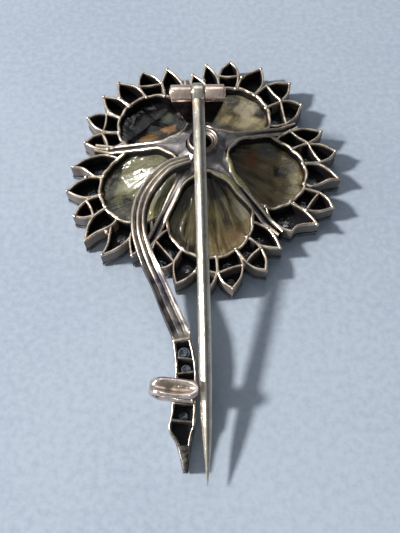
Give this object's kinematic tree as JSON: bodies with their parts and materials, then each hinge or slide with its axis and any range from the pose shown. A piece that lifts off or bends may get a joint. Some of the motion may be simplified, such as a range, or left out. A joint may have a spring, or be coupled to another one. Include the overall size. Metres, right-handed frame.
{
  "type": "brooch",
  "caption": "Flower brooch lying face down: stone petals in a serrated open gallery, a curved jewelled stem, and a hinged pin resting beside its round catch.",
  "frame": {"origin": "middle of the brooch's outline, on the surface it lies on face down", "axes": "+Z out of the brooch's back, +Y from the point of the pin towards the hinge, +X to the right seen from the back"},
  "size_m": [0.0337, 0.0545, 0.012],
  "materials": {
    "gallery_gold": "rose gold edges, tarnished inside",
    "silver_front": "tarnished silver",
    "star_silver": "satin silver, grey patina",
    "collet_gold": "worn gold",
    "stem_gold": "reeded, dark in the grooves",
    "hinge_gold": "polished gold, dark in the corners",
    "rivet_gold": "polished",
    "pin_gold": "polished, drawn wire marks",
    "catch_gold": "polished",
    "diamond": "cut stone",
    "citrine_bottom": "carved and fluted citrine",
    "citrine_right": "carved and fluted citrine",
    "citrine_upper_right": "carved and fluted citrine",
    "citrine_upper_left": "carved and fluted citrine",
    "citrine_left": "carved and fluted citrine"
  },
  "bodies": {
    "brooch": {"gallery_bottom": "gallery_gold", "gallery_right": "gallery_gold", "gallery_upper_right": "gallery_gold", "gallery_upper_left": "gallery_gold", "gallery_left": "gallery_gold", "setting_bottom": "silver_front", "setting_right": "silver_front", "setting_upper_right": "silver_front", "setting_upper_left": "silver_front", "setting_left": "silver_front", "citrine_bottom": "citrine_bottom", "citrine_right": "citrine_right", "citrine_upper_right": "citrine_upper_right", "citrine_upper_left": "citrine_upper_left", "citrine_left": "citrine_left", "diamonds_bottom": "diamond", "diamonds_right": "diamond", "diamonds_upper_right": "diamond", "diamonds_upper_left": "diamond", "diamonds_left": "diamond", "star_plate": "star_silver", "centre_collet": "collet_gold", "centre_diamond": "diamond", "stem_reeds": "stem_gold", "stem_gallery": "stem_gold", "stem_front": "silver_front", "stem_diamonds": "diamond", "hinge_bracket": "hinge_gold", "hinge_rivet": "rivet_gold", "catch_foot": "catch_gold", "catch_hook": "catch_gold"},
    "pin": {"pin_knuckle": "pin_gold", "pin_wire": "pin_gold"}
  },
  "joints": [
    {"name": "pin_hinge", "type": "hinge", "parent": "brooch", "child": "pin", "pos_m": [-0.00012, 0.01395, 0.0108], "axis": [-1, 0, 0], "range_deg": [0, 110]}
  ]
}
